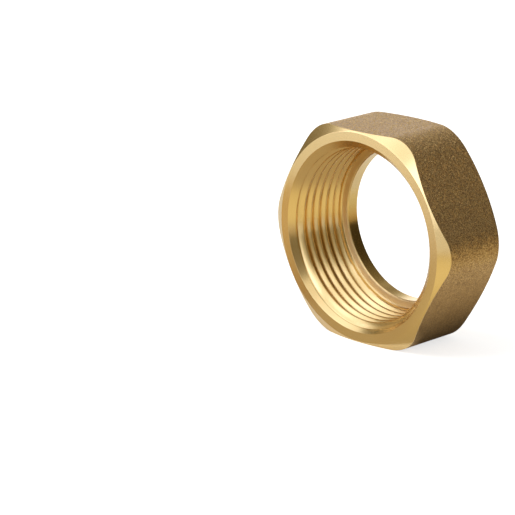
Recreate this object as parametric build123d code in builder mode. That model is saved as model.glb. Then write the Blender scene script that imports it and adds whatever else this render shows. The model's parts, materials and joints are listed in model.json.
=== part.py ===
from build123d import *
from build123d.topology import SkipClean
from math import cos, radians, tan
import os

# Union nut of forged brass: a hexagon with a threaded bore, and an inner lip that pulls a tail-piece's
# collar up to its seat. The nut stands on one of its flats. Its axis runs along Y with the open,
# threaded mouth towards -Y, +Z is up, and the origin is in the middle of the flat that it stands on.
# All sizes are in millimetres.

os.makedirs("parts", exist_ok=True)

# Forged hexagon
across_flats = 48.0
height = 18.5
corner_radius = 8.5

# Turned ends: a 30 degree cone takes the corners off, and starts on the face at this circle
chamfer_circle = 47.35
chamfer_angle = 30.0

# Parallel pipe thread of 1 1/4 inch, 11 turns to the inch, in a bore at the thread's minor diameter
thread_minor = 38.952
thread_major = 41.910
thread_pitch = 25.4 / 11
lead_in_circle = 43.3

# Section of the thread's groove: the bore leaves a narrow flat on each crest, and the tool one at each root
crest_flat = 0.4
root_flat = 0.37
top_crest_depth = 3.5

# Behind the last turns the groove washes out along a cone, and leaves a plain land before the seat
wash_out_start = 12.9
wash_out_end = 14.1

# Inner lip: its seat faces the mouth and takes the tail-piece's collar and flat seal
seat_depth = 15.05
seat_bevel = 0.35
lip_bore = 35.0
seat_edge_break = 0.3
lip_edge_break = 0.4

# Places worked out from the dimensions above
minor = thread_minor / 2
major = thread_major / 2
axis_height = across_flats / 2
mouth_centre = (0, -height / 2, axis_height)
corner_reach = (across_flats / 2 - corner_radius) / cos(radians(30)) + corner_radius
envelope_radius = corner_reach + 2
chamfer_run = (envelope_radius - chamfer_circle / 2) * tan(radians(chamfer_angle))
lead_in_depth = lead_in_circle / 2 - minor

# The groove's helix starts in front of the mouth, midway between two crests, and its flanks reach a
# little way into the open bore, so that it cuts clear of the metal at its start and along both edges
clearance = 0.25
overshoot = 1.0
groove_start_depth = top_crest_depth - 2.5 * thread_pitch
groove_turns = 8
flank_slope = (thread_pitch - crest_flat - root_flat) / 2 / (major - minor)
groove_half_width = (thread_pitch - crest_flat) / 2 + clearance * flank_slope
wash_out_slope = (wash_out_end - wash_out_start) / (major - minor)

# The hexagon is drawn on the mouth face, and the turned sections on a plane through the axis,
# where x is the depth from the mouth face and y is the radius
mouth_face = Plane(origin=mouth_centre, x_dir=(1, 0, 0), z_dir=(0, -1, 0))
turning_plane = Plane(origin=mouth_centre, x_dir=(0, 1, 0), z_dir=(1, 0, 0))
nut_axis = Axis(mouth_centre, (0, 1, 0))

with BuildPart() as thread_groove:
    # One right-hand groove along the whole thread; its helix starts straight above the axis
    with BuildLine() as helix:
        Helix(
            pitch=thread_pitch,
            height=groove_turns * thread_pitch,
            radius=minor,
            center=(0, groove_start_depth - height / 2, axis_height),
            direction=(0, 1, 0),
        )
    with BuildSketch(Plane(origin=helix.line @ 0, x_dir=(0, 0, 1), z_dir=helix.line % 0)):
        with BuildLine():
            Polyline(
                (-clearance, -groove_half_width),
                (major - minor, -root_flat / 2),
                (major - minor, root_flat / 2),
                (-clearance, groove_half_width),
                close=True,
            )
        make_face()
    sweep(path=helix.line, is_frenet=True)

    # The cone of the wash-out trims its far end
    with BuildSketch(turning_plane):
        with BuildLine():
            Polyline(
                (groove_start_depth - thread_pitch, minor - overshoot),
                (groove_start_depth - thread_pitch, major + overshoot),
                (wash_out_start - overshoot * wash_out_slope, major + overshoot),
                (wash_out_end + overshoot * wash_out_slope, minor - overshoot),
                close=True,
            )
        make_face()
    revolve(axis=nut_axis, mode=Mode.INTERSECT)

with BuildPart() as union_nut:
    # Forged blank: flats above and below, with softly rounded corners
    with BuildSketch(mouth_face) as hexagon:
        RegularPolygon(radius=across_flats / 2, side_count=6, major_radius=False)
        fillet(hexagon.vertices(), radius=corner_radius)
    extrude(amount=-height)

    # Both ends are faced and their corners turned to a cone
    with BuildSketch(turning_plane):
        with BuildLine():
            Polyline(
                (0, 0),
                (0, chamfer_circle / 2),
                (chamfer_run, envelope_radius),
                (height - chamfer_run, envelope_radius),
                (height, chamfer_circle / 2),
                (height, 0),
                close=True,
            )
        make_face()
    revolve(axis=nut_axis, mode=Mode.INTERSECT)

    # Bore for the thread, seat and lip, from the mouth inwards
    with BuildSketch(turning_plane) as bore_section:
        with BuildLine():
            Polyline(
                (0, 0),
                (0, minor),
                (seat_depth, minor),
                (seat_depth, lip_bore / 2 + seat_edge_break),
                (seat_depth + seat_edge_break, lip_bore / 2),
                (height - lip_edge_break, lip_bore / 2),
                (height, lip_bore / 2 + lip_edge_break),
                (height, 0),
                close=True,
            )
        make_face()
        seat_corner = bore_section.vertices().sort_by_distance((seat_depth, minor))[0]
        chamfer(seat_corner, length=seat_bevel)
    revolve(axis=nut_axis, mode=Mode.SUBTRACT)

    # Thread, and then the lead-in cone at the mouth, which cuts across its first turn
    add(thread_groove.part, mode=Mode.SUBTRACT)
    with BuildSketch(turning_plane):
        with BuildLine():
            Polyline(
                (0, minor - overshoot),
                (0, lead_in_circle / 2),
                (lead_in_depth + overshoot, minor - overshoot),
                close=True,
            )
        make_face()
    revolve(axis=nut_axis, mode=Mode.SUBTRACT)

# The nut is parted through its corners into sixths of a turn and joined again with its faces left apart,
# which doesn't alter its form. No helical crest then has a face longer than a sixth of a turn.
with SkipClean():
    sectors = [union_nut.part.solid()]
    for corner in range(3):
        parting_plane = Plane(origin=mouth_centre, x_dir=(0, 1, 0), z_dir=(0, 0, 1)).rotated((0, 60 * corner, 0))
        halves = [sector.split(parting_plane, keep=side) for sector in sectors for side in (Keep.TOP, Keep.BOTTOM)]
        sectors = [solid for half in halves if half is not None for solid in half.solids()]
    divided_nut = sectors[0].fuse(*sectors[1:])

divided_nut.label = "union_nut"
export_step(divided_nut, "parts/union_nut.step")
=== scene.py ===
import json
import math
import bpy
import numpy as np
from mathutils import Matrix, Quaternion, Vector


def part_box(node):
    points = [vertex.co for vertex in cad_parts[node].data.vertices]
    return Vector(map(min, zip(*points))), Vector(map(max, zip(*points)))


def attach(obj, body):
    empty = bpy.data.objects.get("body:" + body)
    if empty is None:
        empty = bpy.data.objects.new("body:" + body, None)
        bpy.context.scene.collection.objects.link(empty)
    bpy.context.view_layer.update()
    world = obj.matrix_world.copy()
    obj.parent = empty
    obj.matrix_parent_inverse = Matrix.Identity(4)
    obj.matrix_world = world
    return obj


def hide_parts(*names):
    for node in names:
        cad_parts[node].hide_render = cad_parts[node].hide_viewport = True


# Union nut of forged brass, standing on one flat: a blasted hexagon with bright turned ends and thread.
# The nut's own sizes are in millimetres. A depth runs from the mouth along the axis, a radius from the axis.

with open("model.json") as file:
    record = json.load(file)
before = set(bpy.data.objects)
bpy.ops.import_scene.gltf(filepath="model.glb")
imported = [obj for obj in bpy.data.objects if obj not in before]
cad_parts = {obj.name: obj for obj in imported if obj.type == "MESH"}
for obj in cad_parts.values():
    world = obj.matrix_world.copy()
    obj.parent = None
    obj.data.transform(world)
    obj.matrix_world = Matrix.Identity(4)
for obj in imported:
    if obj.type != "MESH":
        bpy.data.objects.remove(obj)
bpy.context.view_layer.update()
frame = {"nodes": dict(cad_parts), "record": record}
mm = 0.001
print("frame loaded:", sorted(frame["nodes"]))

nutLow, nutHigh = [np.array(corner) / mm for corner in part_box("union_nut")]
mountOf = {mount["name"]: mount for mount in frame["record"]["mounts"]}
acrossFlats = nutHigh[2] - nutLow[2]
nutHeight = nutHigh[1] - nutLow[1]
mouthPlace = nutLow[1]
axisHeight = acrossFlats / 2


# Small helpers

def linearColour(hexCode):
    # sRGB hex to linear: each channel over 12.92 near black, otherwise ((c + 0.055) / 1.055) to the 2.4
    channels = [int(hexCode[i:i + 2], 16) / 255 for i in (1, 3, 5)]
    return [c / 12.92 if c <= 0.04045 else ((c + 0.055) / 1.055) ** 2.4 for c in channels] + [1]


def addNode(tree, kind, inputs=None, links=None, **settings):
    node = tree.nodes.new("ShaderNode" + kind)
    for name, value in settings.items():
        setattr(node, name, value)
    for socket, value in (inputs or {}).items():
        node.inputs[socket].default_value = value
    for socket, source in (links or {}).items():
        tree.links.new(source, node.inputs[socket])
    return node


def newMaterial(name):
    material = bpy.data.materials.new(name)
    material.use_nodes = True
    material.node_tree.nodes.clear()
    return material, material.node_tree


def newObject(name, vertices, faces):
    mesh = bpy.data.meshes.new(name)
    mesh.from_pydata(vertices.tolist(), [], faces)
    thing = bpy.data.objects.new(name, mesh)
    bpy.context.scene.collection.objects.link(thing)
    return thing


# Nut

nut = {
    "columns": 360,          # one column of faces to a degree
    "cornerRadius": 8.5,     # forged corners of the hexagon
    "coneCircle": 47.35,     # diameter where the turned cone starts on each end face
    "coneAngle": 30,         # degrees between the cone and the end face
    "skinEdge": 0.08,        # width of the rounded edge between the cone and the forged skin
    "wallRows": 8,           # rows of faces across the forged skin
    "leadInCircle": 43.3,    # diameter of the 45 degree lead-in at the mouth
    "leadInFlat": 0.12,      # how much of the lead-in is a plain ring, before the rows that follow the helix
    "turnsPerInch": 11,
    "threadAngle": 55,       # degrees between the two flanks
    "threadHeight": 0.640327,       # of the 55 degree form, as a share of its pitch
    "threadRounding": 0.137329,     # radius of its crests and roots, as a share of its pitch
    "topCrest": 3.7,         # depth of a crest straight above the axis, 0.2 more than the solid's, as the photo has it
    "crestRound": 0.3,       # the standard's rounding of a crest is 0.317
    "roundShare": 0.7,       # how far the tap has rounded the turns, from the standard's form to a plain wave
    "lean": 0.25,            # by this much each groove's bottom lies nearer to the turn on its mouth side
    "arcSteps": 4,           # rows of faces in a crest's rounded edge, and in half a root
    "flankSteps": 5,         # and in a flank
    "crease": 0.05,          # softness of the line where the lead-in cuts the thread
    "washStart": 12.9,       # from here the groove washes out along a cone, and a plain land follows it
    "washEnd": 14.1,
    "landFrom": 14.3,        # from here on the rows are plain rings again
    "seatDepth": 15.05,      # flat seat on the lip
    "seatBevel": 0.35,       # where the bore turns into the seat
    "seatRound": 0.12,       # the bevel's own soft edges
    "seatBreak": 0.3,        # small bevels on the lip's two edges
    "lipBreak": 0.4,
    "edgeRound": 0.05,       # deburred turned edges
    "coneRound": 0.15,       # where an end face turns into its cone
    "mouthRound": 0.075,     # where the mouth's face turns into the lead-in
    "probe": 0.002,          # step over which the bore's slopes are measured
    "snug": 0.02,            # a point of the thread nearer than this to an end row is that row's own point
}

pitch = 25.4 / nut["turnsPerInch"]
threadRounding = nut["threadRounding"] * pitch
threadDepth = nut["threadHeight"] * pitch
firstCrest = nut["topCrest"] + pitch / 4             # depth of the same crest on the +X side
minorRadius = mountOf["thread"]["dims"]["r_mm"]
lipRadius = mountOf["lip_bore"]["dims"]["r_mm"]
flankLean = math.radians(nut["threadAngle"] / 2)
rootHalf = threadRounding * math.cos(flankLean)      # half the width of a root's arc
rootDrop = threadRounding * (1 - math.sin(flankLean))
flankAtRoot = pitch / 2 - rootHalf
crestDrop = nut["crestRound"] * (1 - math.sin(flankLean))
flankAtCrest = flankAtRoot - (threadDepth - rootDrop - crestDrop) * math.tan(flankLean)
crestFlat = flankAtCrest - nut["crestRound"] * math.cos(flankLean)


def leaned(along):
    # From a distance behind a crest to the place in the upright groove's section that is drawn there: the crests
    # stay, and halfway between them the section moves towards the mouth
    return along + nut["lean"] * (1 - np.cos(2 * math.pi * along / pitch)) / 2


def boreRadius(depth, turn):
    # The larger of two radii: the lead-in cone, and the thread. Away from its nearest crest the thread's groove
    # deepens along a narrow flat, a rounded edge, a straight flank and a root arc, and this form is blended with a
    # plain wave of the same depth. The crests lie on a right-hand helix. Near its end the groove has only the room
    # that the wash-out's cone leaves, which is held to three times the thread's depth, and the lesser of the two
    # depths counts: their product over the eighth root of the sum of their eighth powers, to which a trifle is
    # added so that it is never nothing.
    along = leaned((depth - firstCrest + pitch * turn) % pitch)
    away = np.minimum(along, pitch - along)
    fromRoot = pitch / 2 - away
    rounding = nut["crestRound"]
    crest = rounding - np.sqrt(rounding ** 2 - np.clip(away - crestFlat, 0, flankAtCrest - crestFlat) ** 2)
    root = threadDepth - threadRounding + np.sqrt(threadRounding ** 2 - np.minimum(fromRoot, rootHalf) ** 2)
    flank = threadDepth - rootDrop - (flankAtRoot - away) / math.tan(flankLean)
    groove = np.where(away < flankAtCrest, crest, np.where(fromRoot < rootHalf, root, flank))
    wave = threadDepth * (1 - np.cos(2 * math.pi * away / pitch)) / 2
    groove = groove + (wave - groove) * nut["roundShare"]
    room = np.clip((nut["washEnd"] - depth) / (nut["washEnd"] - nut["washStart"]), 0, 3) * threadDepth
    thread = minorRadius + groove * room / (groove ** 8 + room ** 8 + 1e-12) ** (1 / 8)
    leadIn = nut["leadInCircle"] / 2 - depth
    return (thread + leadIn + np.sqrt((thread - leadIn) ** 2 + nut["crease"] ** 2)) / 2


def boreNormal(depth, turn):
    # Into the bore, square to its slopes along the axis and round it: (along the axis, outwards, round the axis)
    step = nut["probe"]
    slope = (boreRadius(depth + step, turn) - boreRadius(depth - step, turn)) / (2 * step)
    part = step / (2 * math.pi * minorRadius)
    swing = (boreRadius(depth, turn + part) - boreRadius(depth, turn - part)) / (2 * step)
    normal = np.stack([slope, -np.ones_like(slope), swing], -1)
    return normal / np.linalg.norm(normal, axis=-1, keepdims=True)


def hexagonEdge(turn):
    # Radius and direction of the outline: flats of the hexagon, joined at each sixth of a turn by an arc
    angle = 2 * math.pi * turn
    off = (angle + math.pi / 6) % (math.pi / 3) - math.pi / 6
    centre = (acrossFlats / 2 - nut["cornerRadius"]) / math.cos(math.pi / 6)
    flatEnd = math.atan2(nut["cornerRadius"] / 2, centre + nut["cornerRadius"] * math.cos(math.pi / 6))
    onArc = np.abs(off) < flatEnd
    reach = nut["cornerRadius"] ** 2 - (centre * np.sin(off)) ** 2
    arc = centre * np.cos(off) + np.sqrt(np.maximum(reach, 0))
    flat = acrossFlats / 2 / np.cos(math.pi / 6 - np.abs(off))
    radius = np.where(onArc, arc, flat)
    arcNormal = np.arctan2(radius * np.sin(off), radius * np.cos(off) - centre)
    facing = np.where(onArc, arcNormal, np.sign(off) * math.pi / 6)
    return radius, facing - off     # the direction is given from the column's own radial line


def turnedProfile(corners, rounds, steps=3):
    # A lathe tool's path (depth, radius) with each inner corner replaced by its arc, and the normal at each point.
    # The metal lies on the left of the path.
    corners = np.array(corners, float)
    points, normals = [], []
    for before, corner, after, rounding in zip(corners, corners[1:], corners[2:], rounds):
        way = (corner - before) / np.linalg.norm(corner - before)
        onward = (after - corner) / np.linalg.norm(after - corner)
        bend = math.atan2(way[0] * onward[1] - way[1] * onward[0], way @ onward)
        reach = rounding * math.tan(abs(bend) / 2)
        side = np.array([-way[1], way[0]]) * math.copysign(1, bend)
        centre = corner - way * reach + side * rounding
        turns = bend * np.linspace(0, 1, steps + 1)
        spokeX = -side[0] * np.cos(turns) + side[1] * np.sin(turns)
        spokeY = -side[1] * np.cos(turns) - side[0] * np.sin(turns)
        points.append(np.stack([centre[0] + rounding * spokeX, centre[1] + rounding * spokeY], -1))
        normals.append(np.stack([spokeX, spokeY], -1) * math.copysign(1, bend))
    return np.concatenate(points), np.concatenate(normals)


def softEdge(start, edge, end, startNormal, endNormal, shares=(0, 0.25, 0.5, 0.75, 1)):
    # Quadratic curve from start to end that the edge pulls outwards, with the normal swept between the two sides
    for share in shares:
        place = start * (1 - share) ** 2 + edge * 2 * share * (1 - share) + end * share ** 2
        normal = startNormal * (1 - share) + endNormal * share
        yield place, normal / np.linalg.norm(normal, axis=-1, keepdims=True)


def nutSurface():
    # One closed surface of rows round the axis: plain rings, and rows along the helix where the thread is. A point
    # is a depth and a radius at a turn, x is the radius times the turn's cosine, and z the radius times its sine.
    columns = nut["columns"]
    turn = np.arange(columns) / columns
    ones = np.ones(columns)
    rows, rowNormals = [], []      # each row: (depth, radius) and (along, outwards, round) at every column

    def addRow(place, normal):
        rows.append(place)
        rowNormals.append(normal)

    def addProfile(points, normals):
        for (depth, radius), (along, outwards) in zip(points, normals):
            addRow(np.array([depth, radius]) * ones[:, None], np.array([along, outwards, 0]) * ones[:, None])

    # Behind the thread: the plain land, the bevel, the seat, the lip, the far face and the far cone
    slope = math.radians(nut["coneAngle"])
    coneStart, threadEnd, seat = nut["coneCircle"] / 2, nut["landFrom"], nut["seatDepth"]
    bevel, seatBreak, lipBreak = nut["seatBevel"], nut["seatBreak"], nut["lipBreak"]
    onwards = np.array([2 * math.sin(slope), 2 * math.cos(slope)])      # a way up the cone, for its direction alone
    inside = [
        (threadEnd, minorRadius), (seat - bevel, minorRadius), (seat, minorRadius - bevel),
        (seat, lipRadius + seatBreak), (seat + seatBreak, lipRadius), (nutHeight - lipBreak, lipRadius),
        (nutHeight, lipRadius + lipBreak), (nutHeight, coneStart), (nutHeight - onwards[0], coneStart + onwards[1]),
    ]
    edge, soft = nut["edgeRound"], nut["seatRound"]
    points, normals = turnedProfile(inside, [soft, soft, edge, edge, edge, edge, nut["coneRound"]])
    addProfile([inside[0]], [(0, -1)])
    addProfile(points, normals)

    # Outside: far cone's edge, forged skin, near cone's edge
    outRadius, outTurn = hexagonEdge(turn)
    edgeDepth = (outRadius - coneStart) * math.tan(slope)
    skinNormal = np.stack([ones * 0, np.cos(outTurn), np.sin(outTurn)], -1)
    width = nut["skinEdge"]
    for end in (1, 0):
        mirror = np.array([1.0 if end == 0 else -1.0, 1.0])
        shift = np.array([0.0 if end == 0 else nutHeight, 0.0])
        edgePlace = np.stack([edgeDepth, outRadius], -1)
        onCone = edgePlace - width * np.array([math.sin(slope), math.cos(slope)])
        onSkin = edgePlace + width * np.array([1.0, 0])
        coneNormal = np.stack([-math.cos(slope) * ones, math.sin(slope) * ones, ones * 0], -1)
        flip = np.array([mirror[0], 1.0, 1.0])
        steps = [(place * mirror + shift, normal * flip)
                 for place, normal in softEdge(onCone, edgePlace, onSkin, coneNormal, skinNormal)]
        if end == 1:
            for place, normal in steps:
                addRow(place, normal)
            skinFrom = len(rows) - 1
            farSkin = steps[-1][0]
        else:
            nearSkin = steps[-1][0]
            for k in range(1, nut["wallRows"]):
                share = k / nut["wallRows"]
                addRow(farSkin * (1 - share) + nearSkin * share, skinNormal)
            skinTo = len(rows)
            for place, normal in reversed(steps):
                addRow(place, normal)

    # Mouth: near cone, end face and the first of the lead-in
    mouth, threadStart = nut["leadInCircle"] / 2, nut["leadInFlat"]
    outside = [(onwards[0], coneStart + onwards[1]), (0, coneStart), (0, mouth), (threadStart, mouth - threadStart)]
    points, normals = turnedProfile(outside, [nut["coneRound"], nut["mouthRound"]])
    addProfile(points, normals)
    addProfile([(threadStart, mouth - threadStart)], [(-math.sqrt(0.5), -math.sqrt(0.5))])

    rows, rowNormals = np.array(rows), np.array([n * np.ones((columns, 3)) for n in rowNormals])
    rowIndex = np.arange(len(rows) * columns).reshape(len(rows), columns)

    # Thread and lead-in: rows follow the helix, so that a row ends one pitch further on after a full turn. Half a
    # period runs from a crest's middle to a root's, with rows where the section bends.
    arc = np.sin(np.linspace(0, math.pi / 2 - flankLean, nut["arcSteps"] + 1))
    flank = np.linspace(flankAtCrest, flankAtRoot, nut["flankSteps"] + 1)[1:-1]
    half = np.concatenate([[0], crestFlat + nut["crestRound"] * arc, flank, pitch / 2 - threadRounding * arc[::-1]])
    period = np.concatenate([half, pitch - half[::-1][1:-1]])
    fine = np.linspace(0, pitch, 400)      # the lean is undone by looking up where it leads
    period = np.interp(period, leaned(fine), fine)
    firstPitch = math.floor(-firstCrest / pitch)
    pitches = np.arange(firstPitch, math.ceil((threadEnd - firstCrest) / pitch) + 1)
    rowDepth = (firstCrest + pitches[:, None] * pitch + period).ravel()
    depth = rowDepth[:, None] - pitch * turn
    snug = nut["snug"]
    free = (depth > threadStart + snug) & (depth < threadEnd - snug)
    index = np.where(depth <= threadStart + snug, rowIndex[-1], rowIndex[0])
    index[free] = rowIndex.size + np.arange(free.sum())
    wrap = np.full((len(rowDepth), 1), rowIndex[-1, 0])
    wrap[len(period):, 0] = index[:-len(period), 0]
    following = np.concatenate([index[:, 1:], wrap], 1)
    freeTurn = np.broadcast_to(turn, depth.shape)[free]
    freeDepth = depth[free]

    def quads(here, there):
        return np.stack([here[:-1], there[:-1], there[1:], here[1:]], -1).reshape(-1, 4)

    # Faces: rings first, then the thread, whose quads shrink to triangles where a row runs into an end row
    ringFaces = quads(rowIndex, np.roll(rowIndex, -1, 1))
    threadFaces = quads(index, following)
    leftShut = threadFaces[:, 0] == threadFaces[:, 3]
    rightShut = threadFaces[:, 1] == threadFaces[:, 2]
    faces = ringFaces.tolist() + threadFaces[~leftShut & ~rightShut].tolist()
    faces += threadFaces[leftShut & ~rightShut][:, :3].tolist()
    faces += threadFaces[~leftShut & rightShut][:, [0, 1, 3]].tolist()

    # Depth, radius and turn of every point to x, y and z, and the same for the normals
    allDepth = np.concatenate([rows[..., 0].ravel(), freeDepth])
    allRadius = np.concatenate([rows[..., 1].ravel(), boreRadius(freeDepth, freeTurn)])
    angle = 2 * math.pi * np.concatenate([np.tile(turn, len(rows)), freeTurn])
    normal = np.concatenate([rowNormals.reshape(-1, 3), boreNormal(freeDepth, freeTurn)])
    cos, sin = np.cos(angle), np.sin(angle)
    vertices = np.stack([allRadius * cos, allDepth + mouthPlace, allRadius * sin + axisHeight], -1) * mm
    normals = np.stack([
        normal[:, 1] * cos - normal[:, 2] * sin, normal[:, 0], normal[:, 1] * sin + normal[:, 2] * cos,
    ], -1)
    skin = np.zeros(len(faces), np.int32)
    skin[skinFrom * columns:skinTo * columns] = 1
    return vertices, faces, normals, skin


# Materials

def axisCoordinates(tree):
    # Millimetres from the nut's axis: the depth, the radius, and the unit direction from the axis
    place = addNode(tree, "TexCoord").outputs["Object"]
    centred = addNode(tree, "Mapping", {"Location": (0, -mouthPlace, -axisHeight), "Scale": (1 / mm,) * 3},
                      {"Vector": place})
    split = addNode(tree, "SeparateXYZ", None, {"Vector": centred.outputs["Vector"]})
    across = addNode(tree, "CombineXYZ", None, {"X": split.outputs["X"], "Z": split.outputs["Z"]})
    radius = addNode(tree, "VectorMath", None, {0: across.outputs["Vector"]}, operation="LENGTH")
    outwards = addNode(tree, "VectorMath", None, {0: across.outputs["Vector"]}, operation="NORMALIZE")
    return centred.outputs["Vector"], split.outputs["Y"], radius.outputs["Value"], outwards.outputs["Vector"]


turned = {
    "colour": "#F7DAA0",       # reflected colour of the bare metal
    "warmColour": "#F3D292",
    "seatColour": "#FCE0A6",   # the faced seat is drier; its paler colour is painted light that brightens it deep in the bore
    "seatRoughness": 0.5,
    "seatDepths": (14.9, 15.03, 15.1, 15.3),     # mm from the mouth
    "roughness": 0.21,
    "threadRoughness": 0.22,   # the tap leaves the flanks a little duller than the boring tool leaves the rest
    "threadDepths": (1.6, 2.2, 15.1, 15.3),      # mm from the mouth: where the duller finish fades in and out
    "anisotropic": 0.65,
    "threadAnisotropic": 0.7,
    "markWidth": 0.35,         # mm; the real feed marks are about 0.1 mm, too fine to show, so they are drawn coarser
    "markHeight": 0.0035,      # mm
    "markFacing": 0.6,         # how close the marks lie on the faces, against those in the bore
    "markWander": 0.6,         # how far a mark changes on its way round
    "blush": 0.12,             # patches of warmer metal to a mm
}


def turnedBrass():
    # Leaded brass as it leaves the lathe: bright, with fine marks round the axis that draw out each reflection
    # across them. The marks are noise along the tool's path, which is the depth plus a share of the radius.
    material, tree = newMaterial("turned brass")
    place, depth, radius, outwards = axisCoordinates(tree)
    across = addNode(tree, "Math", {1: turned["markFacing"]}, {0: radius}, operation="MULTIPLY")
    path = addNode(tree, "Math", None, {0: depth, 1: across.outputs[0]}, operation="ADD")
    around = addNode(tree, "VectorMath", {"Scale": turned["markWander"]}, {0: outwards}, operation="SCALE")
    lift = addNode(tree, "CombineXYZ", None, {"Y": path.outputs[0]})
    spread = addNode(tree, "VectorMath", {"Scale": 1 / turned["markWidth"]}, {0: lift.outputs[0]}, operation="SCALE")
    marksAt = addNode(tree, "VectorMath", None, {0: spread.outputs[0], 1: around.outputs[0]}, operation="ADD")
    marks = addNode(tree, "TexNoise", {"Scale": 1.0, "Detail": 2.0, "Roughness": 0.6}, {"Vector": marksAt.outputs[0]})
    blush = addNode(tree, "TexNoise", {"Scale": turned["blush"], "Detail": 2.0}, {"Vector": place})
    colour = addNode(tree, "Mix", {"A": linearColour(turned["colour"]), "B": linearColour(turned["warmColour"])},
                     {"Factor": blush.outputs["Fac"]}, data_type="RGBA")
    bump = addNode(tree, "Bump", {"Strength": 1.0, "Distance": turned["markHeight"] * mm},
                   {"Height": marks.outputs["Fac"]})
    wayRound = addNode(tree, "VectorMath", {1: (0, 1, 0)}, {0: outwards}, operation="CROSS_PRODUCT")
    tangent = addNode(tree, "VectorTransform", None, {"Vector": wayRound.outputs[0]},
                      vector_type="VECTOR", convert_from="OBJECT", convert_to="WORLD")

    def within(start, full, last, end):
        # 1 between the two middle depths, and fading to 0 at the outer ones
        fadeIn = addNode(tree, "MapRange", {"From Min": start, "From Max": full}, {"Value": depth})
        fadeOut = addNode(tree, "MapRange", {"From Min": end, "From Max": last}, {"Value": depth})
        return addNode(tree, "Math", None, {0: fadeIn.outputs["Result"], 1: fadeOut.outputs["Result"]},
                       operation="MULTIPLY")

    onThread, onSeat = within(*turned["threadDepths"]), within(*turned["seatDepths"])
    # On the seat a paler colour is mixed in: painted light deep in the bore
    tint = addNode(tree, "Mix", {"B": linearColour(turned["seatColour"])},
                   {"Factor": onSeat.outputs[0], "A": colour.outputs["Result"]}, data_type="RGBA")
    roughness = addNode(tree, "MapRange", {"To Min": turned["roughness"], "To Max": turned["threadRoughness"]},
                        {"Value": onThread.outputs[0]})
    drier = addNode(tree, "MapRange", {"To Max": turned["seatRoughness"]},
                    {"Value": onSeat.outputs[0], "To Min": roughness.outputs["Result"]})
    stretch = addNode(tree, "MapRange", {"To Min": turned["anisotropic"], "To Max": turned["threadAnisotropic"]},
                      {"Value": onThread.outputs[0]})
    shader = addNode(tree, "BsdfPrincipled", {"Metallic": 1.0, "Anisotropic Rotation": 0.25}, {
        "Base Color": tint.outputs["Result"], "Roughness": drier.outputs["Result"],
        "Anisotropic": stretch.outputs["Result"], "Normal": bump.outputs["Normal"],
        "Tangent": tangent.outputs["Vector"],
    })
    addNode(tree, "OutputMaterial", None, {"Surface": shader.outputs["BSDF"]})
    return material


forged = {
    "colour": "#ECC88A",       # the tops that blasting has burnished
    "darkColour": "#A67A43",   # the pits
    "film": 0.12,              # share of the surface that a thin dull film covers
    "filmColour": "#D8C59C",
    "roughness": 0.42,
    "grain": 0.2,              # mm, as the blast leaves it
    "grainHeight": 0.02,       # mm
    "clouding": 0.5,           # broader clouds of tone to a mm
    "cloudShare": 0.5,         # and how much they count
    "facetTilt": 0.62,         # how far the facets of the grain lean, each its own way
    "facetTone": 2.7,          # how far their tones differ
    "toneRange": (-0.4, 0.9),       # tones that give the pits' colour and the tops'
    "lowerShare": 0.3,         # how much of the tilt and tone the downward faces show
    "upperShare": 2.0,         # and the top, where the stronger tone of the grain is painted sparkle
    "shareRange": (-0.4, 1.0),      # upward lean of a face at the first share and at the second
}


def blastedForging():
    # Hot-forged brass blasted clean of scale: dull, with a fine even grain whose facets sparkle
    material, tree = newMaterial("blasted forging")
    place, depth, radius, outwards = axisCoordinates(tree)
    cells = addNode(tree, "TexVoronoi", {"Scale": 1 / forged["grain"], "Randomness": 1.0}, {"Vector": place},
                    feature="F1")
    clouds = addNode(tree, "TexNoise", {"Scale": forged["clouding"], "Detail": 3.0, "Roughness": 0.6},
                     {"Vector": place})
    bump = addNode(tree, "Bump", {"Strength": 1.0, "Distance": forged["grainHeight"] * mm},
                   {"Height": cells.outputs["Distance"]})
    upwards = addNode(tree, "SeparateXYZ", None, {"Vector": outwards})
    # Upward faces show stronger grain: the lean of the facets is bump, and their stronger tone is painted sparkle
    leanFrom, leanTo = forged["shareRange"]
    share = addNode(tree, "MapRange", {"From Min": leanFrom, "From Max": leanTo, "To Min": forged["lowerShare"],
                                       "To Max": forged["upperShare"]}, {"Value": upwards.outputs["Z"]})
    centred = addNode(tree, "VectorMath", {1: (0.5, 0.5, 0.5)}, {0: cells.outputs["Color"]}, operation="SUBTRACT")
    facet = addNode(tree, "VectorMath", None, {0: centred.outputs[0], "Scale": share.outputs["Result"]},
                    operation="SCALE")
    tilt = addNode(tree, "VectorMath", {"Scale": forged["facetTilt"]}, {0: facet.outputs[0]}, operation="SCALE")
    leaning = addNode(tree, "VectorMath", None, {0: bump.outputs["Normal"], 1: tilt.outputs[0]}, operation="ADD")
    facing = addNode(tree, "VectorMath", None, {0: leaning.outputs[0]}, operation="NORMALIZE")
    apart = addNode(tree, "SeparateXYZ", None, {"Vector": facet.outputs[0]})
    own = addNode(tree, "Math", {1: forged["facetTone"]}, {0: apart.outputs["X"]}, operation="MULTIPLY")
    tone = addNode(tree, "Math", {1: forged["cloudShare"]}, {0: clouds.outputs["Fac"], 2: own.outputs[0]},
                   operation="MULTIPLY_ADD")
    darkest, lightest = forged["toneRange"]
    toneRange = addNode(tree, "MapRange", {"From Min": darkest, "From Max": lightest}, {"Value": tone.outputs[0]})
    colour = addNode(tree, "Mix", {"A": linearColour(forged["darkColour"]), "B": linearColour(forged["colour"])},
                     {"Factor": toneRange.outputs["Result"]}, data_type="RGBA")
    shader = addNode(tree, "BsdfPrincipled", {"Metallic": 1.0, "Roughness": forged["roughness"]},
                     {"Base Color": colour.outputs["Result"], "Normal": facing.outputs[0]})
    film = addNode(tree, "BsdfDiffuse", {"Color": linearColour(forged["filmColour"])},
                   {"Normal": bump.outputs["Normal"]})
    both = addNode(tree, "MixShader", {0: forged["film"]}, {1: shader.outputs["BSDF"], 2: film.outputs["BSDF"]})
    addNode(tree, "OutputMaterial", None, {"Surface": both.outputs["Shader"]})
    return material


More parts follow.
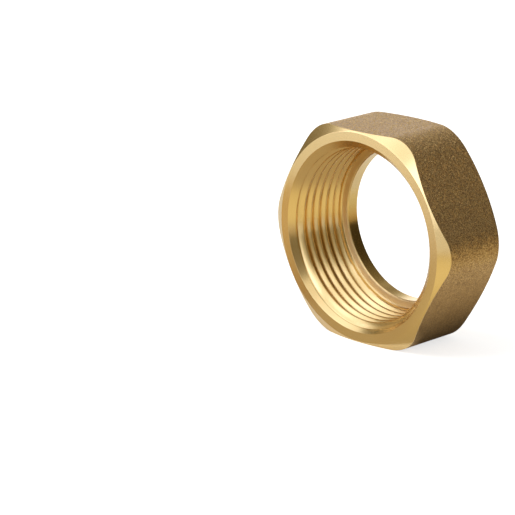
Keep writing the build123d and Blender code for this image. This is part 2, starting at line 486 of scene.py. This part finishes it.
vertices, faces, normals, skin = nutSurface()
unionNut = newObject("unionNut", vertices, faces)
unionNut.data.polygons.foreach_set("material_index", skin)
unionNut.data.shade_smooth()
unionNut.data.normals_split_custom_set_from_vertices(normals.tolist())
unionNut.data.materials.append(turnedBrass())
unionNut.data.materials.append(blastedForging())
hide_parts("union_nut")
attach(unionNut, "root")
print("nut made:", len(vertices), "points,", len(faces), "faces")


# Studio

studio = {
    "floorSize": 6.0,          # m
    "floorColour": "#E6E6E4",
    "floorGlow": 0.72,         # added for the camera, so that the lit floor reads as white
    "mirrorGlow": 0.1,         # added for what the metal mirrors
    "skyLevel": 0.5,           # of the world, for everything that is not seen directly or in a mirror
    "softboxPlace": (-0.60, -0.60, 1.15),
    "softboxSize": 1.1,        # m
    "softboxPower": 12,        # W
    "wallRadius": 0.85,        # m, glowing cloth round the table, seen only in reflections, where it paints the studio's light and shade
    "wallHeight": 2.6,
    "wallColumn": 5,           # degrees of compass to a column of its faces
    "wallRows": 60,
    "wallFade": 5,             # degrees of elevation above and below a step over which its brightness changes
    "warmth": (1, 1.11, 1.45),      # powers of the brightness in red, green and blue: the darker parts of the painted reflections are browner
    # Brightness of the cloth below a step, elevation of the step in degrees, and brightness above it, by compass
    # angle: 0 is straight in front of the mouth, and 90 is the nut's +X side
    "wall": {
        -171: (0.2, 60, 0.15), -152: (0.75, 28, 0.2), -140: (1.2, 24, 0.4), -128: (1.4, 24, 0.5),
        -108: (0.7, 30, 0.7), -90: (0.15, 46, 0.9), -80: (0.2, 46, 0.95), -68: (0.28, 42, 1.0),
        -60: (1.1, 36, 1.04), -48: (2.1, 30, 1.06), -28: (2.1, 25, 1.0), -18: (1.8, 22, 0.93),
        -8: (2.0, 26, 0.98), 0: (2.1, 33, 1.0), 6: (1.95, 33, 1.0), 11: (1.6, 33, 1.0), 16: (1.15, 33, 0.9),
        22: (0.5, 33, 0.8), 34: (0.18, 37, 0.9), 48: (0.15, 38, 1.0), 70: (0.2, 38, 1.0), 100: (0.15, 45, 1.0),
        130: (0.03, 60, 0.2), 149: (0.05, 60, 0.15), 167: (0.14, 60, 0.15),
    },
    # A soft patch of light on the cloth: compass angle, elevation, half its width and height, and its brightness
    "patch": (-26, 44, 22, 8, 0.95),
    # Glowing card, seen only in reflections, where it paints warm brass reflections: a drum that stands before the
    # mouth, and a sheet on the floor
    "drumPlace": (-0.042, -0.040),      # m
    "drumRadius": 0.022,
    "drumHeight": 0.0185,
    "drumSides": 64,
    "drumColours": ("#A28B69", "#CBB58E"),      # at its foot and at its top: the painted reflection darkens towards the foot
    # Colours of the sheet to the left and to the right of its seam, by mm from the mouth: painted shade and warm
    # reflected light on the floor before the mouth, as the metal mirrors it
    "sheet": {
        0: ("#B4A689", "#B4A689"), 12: ("#B3A386", "#C8BA94"), 26: ("#B6A88C", "#E3D6AC"), 42: ("#BBAE95", "#E8DBB2"),
        62: ("#C8BBA9", "#E6DAB0"), 82: ("#DCD7D5", "#D9CDA6"), 105: ("#E6E4E2", "#D6CBB0"),
    },
    "sheetEdges": (-60, 8, 18, 60),      # mm along X: its left edge, the seam between the two tones, its right edge
    "sheetSlant": 0.5,          # the seam runs this far to the left for each mm from the mouth
    # A second sheet paints the nut's shadow on the floor, as the metal mirrors it: its tone follows the distance from
    # the middle along X, darkest nearest the middle
    "shade": {10: "#2A2118", 17.5: "#3C3225", 20: "#6A5E4C", 23: "#AFA28E", 30: "#D2C9B8", 42: "#E8E4DC"},
    "shadeEnds": (-4, 28),      # mm along the nut's axis
    # A third sheet, the skirt, paints the mirrored floor darker and browner at the right and behind: its tone follows
    # the distance from the nut
    "skirt": {34: "#DAD3BC", 60: "#CCC4A2", 90: "#C6B58A", 150: "#B9A172", 260: "#A48E62", 850: "#87734C"},
    "skirtSpan": (34, 172),     # compass angles
    "skirtColumns": 9,
    "lifts": (0.3, 0.2, 0.1),   # mm above the floor of the sheet, the shade and the skirt
}


def makeFloor():
    # One square of paper, with a glow that only the camera and the metal see
    side = studio["floorSize"] / 2
    corners = np.array([(-side, -side, 0), (side, -side, 0), (side, side, 0), (-side, side, 0)])
    floor = newObject("floor", corners, [(0, 1, 2, 3)])
    material, tree = newMaterial("white paper")
    paper = addNode(tree, "BsdfDiffuse", {"Color": linearColour(studio["floorColour"])})
    path = addNode(tree, "LightPath")
    mirrored = addNode(tree, "Math", {1: studio["mirrorGlow"]}, {0: path.outputs["Is Glossy Ray"]},
                       operation="MULTIPLY")
    glow = addNode(tree, "Math", {1: studio["floorGlow"]}, {0: path.outputs["Is Camera Ray"], 2: mirrored.outputs[0]},
                   operation="MULTIPLY_ADD")
    light = addNode(tree, "Emission", None, {"Strength": glow.outputs[0]})
    both = addNode(tree, "AddShader", None, {0: paper.outputs[0], 1: light.outputs[0]})
    addNode(tree, "OutputMaterial", None, {"Surface": both.outputs[0]})
    floor.data.materials.append(material)


def makeCloth():
    # A round wall of cloth that glows and is seen only in the metal, painting the studio's light and shade there.
    # Its brightness follows the compass angle and goes smoothly from one value to another at a step of elevation:
    # three times the square of the share less twice its cube. The patch adds a bell curve.
    across, up = np.arange(0, 360, studio["wallColumn"]), np.linspace(0, 1, studio["wallRows"])
    compass, share = np.meshgrid(across, up)
    radius, height = studio["wallRadius"], studio["wallHeight"] * share
    angle = np.radians(compass)
    vertices = np.stack([radius * np.sin(angle), -radius * np.cos(angle), height], -1).reshape(-1, 3)
    index = np.arange(vertices.shape[0]).reshape(compass.shape)
    following = np.roll(index, -1, 1)
    faces = np.stack([index[:-1], index[1:], following[1:], following[:-1]], -1).reshape(-1, 4).tolist()
    cloth = newObject("cloth", vertices, faces)
    known = sorted(studio["wall"])
    low, step, high = [np.interp(compass, known, [studio["wall"][k][i] for k in known], period=360) for i in (0, 1, 2)]
    fade = np.clip((np.degrees(np.arctan2(height, radius)) - step) / studio["wallFade"] / 2 + 0.5, 0, 1)
    fade = fade * fade * (3 - 2 * fade)
    centre, lift, width, tall, extra = studio["patch"]
    aside = (compass - centre + 180) % 360 - 180
    patch = extra * np.exp(-(aside / width) ** 2 - ((np.degrees(np.arctan2(height, radius)) - lift) / tall) ** 2)
    brightness = (low * (1 - fade) + high * fade + patch).reshape(-1, 1)
    colour = np.concatenate([brightness ** np.array(studio["warmth"]), brightness * 0 + 1], -1)
    attribute = cloth.data.attributes.new("brightness", "FLOAT_COLOR", "POINT")
    attribute.data.foreach_set("color", colour.ravel().astype(np.float32))
    material, tree = newMaterial("grey cloth")
    read = addNode(tree, "Attribute", attribute_name="brightness")
    light = addNode(tree, "Emission", None, {"Color": read.outputs["Color"]})
    addNode(tree, "OutputMaterial", None, {"Surface": light.outputs[0]})
    cloth.data.materials.append(material)
    cloth.visible_camera = cloth.visible_diffuse = cloth.visible_shadow = False


def makeCard():
    # A drum with a closed top, and three flat strips just above the floor: each is a grid whose rows have one colour
    # to a column, blended between them. All of it glows and is seen only in the metal: painted reflections.
    count = studio["drumSides"]
    turn = np.linspace(0, 2 * math.pi, count + 1)[:-1]
    foot = np.stack([np.cos(turn), np.sin(turn), 0 * turn], -1) * studio["drumRadius"] + (*studio["drumPlace"], 0)
    index = np.arange(count)
    following = np.roll(index, -1)
    sheetLift, shadeLift, skirtLift = studio["lifts"]
    left, seam, seamEnd, right = studio["sheetEdges"]
    sheet, shade = [], [[(along, end, shadeLift) for end in studio["shadeEnds"]] for along in studio["shade"]]
    for away in studio["sheet"]:
        shift = studio["sheetSlant"] * away
        sheet.append([(edge, mouthPlace - away, sheetLift) for edge in (left, seam - shift, seamEnd - shift, right)])
    compass = np.radians(np.linspace(*studio["skirtSpan"], studio["skirtColumns"]))
    ahead = np.stack([np.sin(compass), -np.cos(compass), 0 * compass], -1)
    skirt = [ahead * away + (0, 0, skirtLift) for away in studio["skirt"]]

    faces = np.stack([index, following, following + count, index + count], -1).tolist() + [(index + count).tolist()]
    points = [foot, foot + (0, 0, studio["drumHeight"])]
    made = 2 * count
    for strip in (sheet, shade, skirt):
        grid = np.array(strip) * mm
        place = made + np.arange(grid.shape[0] * grid.shape[1]).reshape(grid.shape[:2])
        faces += np.stack([place[:-1, :-1], place[:-1, 1:], place[1:, 1:], place[1:, :-1]], -1).reshape(-1, 4).tolist()
        points.append(grid.reshape(-1, 3))
        made += place.size
    card = newObject("card", np.concatenate(points), faces)
    colours = [code for code in studio["drumColours"] for k in range(count)]
    colours += [code for leftTone, rightTone in studio["sheet"].values()
                for code in (leftTone, leftTone, rightTone, rightTone)]
    colours += [code for code in studio["shade"].values() for k in range(2)]
    colours += [code for code in studio["skirt"].values() for k in range(studio["skirtColumns"])]
    attribute = card.data.attributes.new("tone", "FLOAT_COLOR", "POINT")
    attribute.data.foreach_set("color", np.array([linearColour(code) for code in colours], np.float32).ravel())
    material, tree = newMaterial("brass-coloured card")
    tone = addNode(tree, "Attribute", attribute_name="tone")
    light = addNode(tree, "Emission", None, {"Color": tone.outputs["Color"]})
    addNode(tree, "OutputMaterial", None, {"Surface": light.outputs[0]})
    card.data.materials.append(material)
    card.visible_camera = card.visible_diffuse = card.visible_shadow = False


def makeWorld():
    # White where it is seen, directly or in the metal, and at the plain level of a room for the rest
    world = bpy.data.worlds.new("studio")
    bpy.context.scene.world = world
    world.use_nodes = True
    tree = world.node_tree
    tree.nodes.clear()
    path = addNode(tree, "LightPath")
    direct = addNode(tree, "Math", None, {0: path.outputs["Is Camera Ray"], 1: path.outputs["Is Glossy Ray"]},
                     operation="MAXIMUM")
    seen = addNode(tree, "Math", None, {0: direct.outputs[0], 1: path.outputs["Is Transmission Ray"]},
                   operation="MAXIMUM")
    level = addNode(tree, "MapRange", {"To Min": studio["skyLevel"], "To Max": 1.0}, {"Value": seen.outputs[0]})
    sky = addNode(tree, "Background", None, {"Strength": level.outputs["Result"]})
    addNode(tree, "OutputWorld", None, {"Surface": sky.outputs[0]})


def makeSoftbox():
    lamp = bpy.data.lights.new("softbox", "AREA")
    lamp.shape, lamp.size, lamp.energy = "SQUARE", studio["softboxSize"], studio["softboxPower"]
    softbox = bpy.data.objects.new("softbox", lamp)
    bpy.context.scene.collection.objects.link(softbox)
    softbox.visible_glossy = False      # in reflections the bright part of the cloth stands for it
    softbox.location = studio["softboxPlace"]
    softbox.rotation_euler = (Vector((0, 0, axisHeight * mm)) - softbox.location).to_track_quat("-Z", "Y").to_euler()


makeFloor()
makeCloth()
makeCard()
makeWorld()
makeSoftbox()
print("studio made")

camera = {
    "place": (0.37599, -0.39747, 0.17840),    # m
    "heading": -46.40,       # degrees from +Y towards +X
    "dip": 16.36,            # degrees below level
    "roll": -0.80,
    "lens": 179.12,          # mm
    "sensor": 36,            # mm
    "sight": 20,             # m, how far it sees
}


def makeCamera():
    lens = bpy.data.cameras.new("camera")
    lens.lens, lens.sensor_width, lens.clip_end = camera["lens"], camera["sensor"], camera["sight"]
    seat = bpy.data.objects.new("camera", lens)
    bpy.context.scene.collection.objects.link(seat)
    heading, dip = math.radians(camera["heading"]), math.radians(camera["dip"])
    ahead = Vector((math.sin(heading) * math.cos(dip), math.cos(heading) * math.cos(dip), -math.sin(dip)))
    roll = Quaternion((0, 0, 1), math.radians(camera["roll"]))
    seat.rotation_mode = "QUATERNION"
    seat.rotation_quaternion = ahead.to_track_quat("-Z", "Y") @ roll
    seat.location = camera["place"]
    bpy.context.scene.camera = seat


makeCamera()
bpy.context.scene.view_settings.view_transform = "Standard"
print("camera made")
